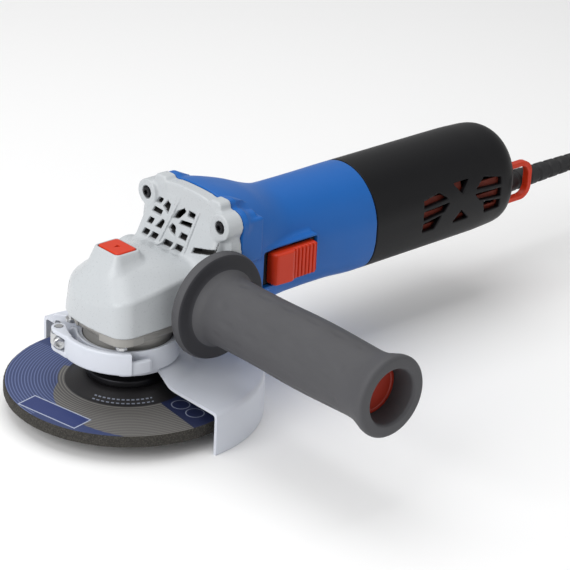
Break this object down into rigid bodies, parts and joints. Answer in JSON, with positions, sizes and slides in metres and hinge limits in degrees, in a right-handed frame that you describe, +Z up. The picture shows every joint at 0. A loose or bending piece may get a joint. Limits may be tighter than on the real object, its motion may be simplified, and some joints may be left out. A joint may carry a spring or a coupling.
{
  "type": "angle grinder",
  "caption": "Handheld angle grinder with a geared head, side handle, swivelling disc guard with clamp lever, slide switch, spindle lock and mains cord.",
  "frame": {"origin": "centre of the machine's outline from above, cord left out, at the height of the guard's lower rim", "axes": "+X from the disc back along the motor to the cord, +Z up through the gear housing, side handle towards -Y"},
  "size_m": [0.5709, 0.2315, 0.1099],
  "materials": {
    "painted_casting": "light grey powder coat on cast alloy, satin",
    "painted_sheet": "pale grey powder coat on pressed steel, satin",
    "bare_alloy": "bare cast alloy, matt",
    "blue_housing": "blue glass-filled nylon, fine texture",
    "black_cover": "black glass-filled nylon, satin",
    "orange_plastic": "orange-red nylon, satin",
    "grey_soft_grip": "grey thermoplastic elastomer, fine stipple",
    "disc_abrasive": "resin-bonded abrasive grit with a paper face",
    "ground_steel": "ground and polished",
    "zinc_steel": "zinc plated",
    "black_oxide_steel": "black oxide, oiled",
    "lamination_steel": "stacked punched sheets",
    "enamelled_copper": "enamelled wire and copper bars",
    "brass": "pressed brass",
    "brush_carbon": "pressed graphite",
    "inner_plastic": "black nylon",
    "black_rubber": "black rubber, matt",
    "nickel_pin": "nickel plated brass"
  },
  "bodies": {
    "machine": {"gear_housing": "painted_casting", "housing_screw_1": "black_oxide_steel", "housing_screw_2": "black_oxide_steel", "housing_screw_3": "black_oxide_steel", "housing_screw_4": "black_oxide_steel", "cover_screw_1": "zinc_steel", "cover_screw_2": "zinc_steel", "cover_screw_3": "zinc_steel", "cover_screw_4": "zinc_steel", "bearing_cover": "bare_alloy", "spindle_bearing": "ground_steel", "spindle_bush": "ground_steel", "front_bearing": "ground_steel", "motor_housing": "blue_housing", "fan_baffle": "inner_plastic", "rear_cover": "black_cover", "dust_screen": "orange_plastic", "hanging_eye": "orange_plastic", "cable_sleeve": "black_rubber", "cord_clamp": "inner_plastic", "switch_module": "inner_plastic", "stator_core": "lamination_steel", "field_coil_upper": "enamelled_copper", "field_coil_lower": "enamelled_copper", "brush_holder_left": "brass", "brush_holder_right": "brass", "carbon_brush_left": "brush_carbon", "carbon_brush_right": "brush_carbon", "brush_spring_left": "zinc_steel", "brush_spring_right": "zinc_steel", "rear_bearing": "ground_steel", "handle_grip": "grey_soft_grip", "handle_core": "orange_plastic", "handle_stud": "zinc_steel", "lock_spring": "ground_steel", "power_cord": "black_rubber", "cord_coil": "black_rubber", "plug_body": "black_rubber", "plug_pin_1": "nickel_pin", "plug_pin_2": "nickel_pin"},
    "spindle_group": {"spindle": "ground_steel", "crown_gear": "ground_steel", "inner_flange": "black_oxide_steel", "flange_nut": "black_oxide_steel", "grinding_disc": "disc_abrasive"},
    "armature": {"armature_shaft": "ground_steel", "pinion": "ground_steel", "armature_core": "lamination_steel", "armature_windings": "enamelled_copper", "commutator": "enamelled_copper", "fan": "inner_plastic"},
    "guard_clamp": {"guard": "painted_sheet", "guard_band": "painted_sheet", "clamp_bolt": "zinc_steel", "lever_pin": "zinc_steel"},
    "lever": {"clamp_lever": "painted_sheet"},
    "spindle_lock": {"lock_button": "orange_plastic", "lock_pin": "ground_steel"},
    "switch": {"slide_button": "orange_plastic", "switch_rod": "inner_plastic"}
  },
  "joints": [
    {"name": "spindle_spin", "type": "hinge", "parent": "machine", "child": "spindle_group", "pos_m": [-0.13975, 0.0458, 0.014], "axis": [0, 0, 1], "continuous": true},
    {"name": "armature_spin", "type": "hinge", "parent": "machine", "child": "armature", "pos_m": [-0.06475, 0.0458, 0.069], "axis": [1, 0, 0], "continuous": true},
    {"name": "guard_swivel", "type": "hinge", "parent": "machine", "child": "guard_clamp", "pos_m": [-0.13975, 0.0458, 0.034], "axis": [0, 0, 1], "range_deg": [-75, 75]},
    {"name": "lever_swing", "type": "hinge", "parent": "guard_clamp", "child": "lever", "pos_m": [-0.16801, 0.06559, 0.038], "axis": [0, 0, 1], "range_deg": [-110, 0]},
    {"name": "lock_press", "type": "slide", "parent": "machine", "child": "spindle_lock", "axis": [0, 0, -1], "range_m": [0, 0.0035], "stiffness_N_per_m": 400, "deforming": ["lock_spring"]},
    {"name": "switch_slide", "type": "slide", "parent": "machine", "child": "switch", "axis": [-1, 0, 0], "range_m": [0, 0.005]}
  ],
  "couplings": [
    {"joint": "armature_spin", "follows": "spindle_spin", "ratio": 3}
  ]
}
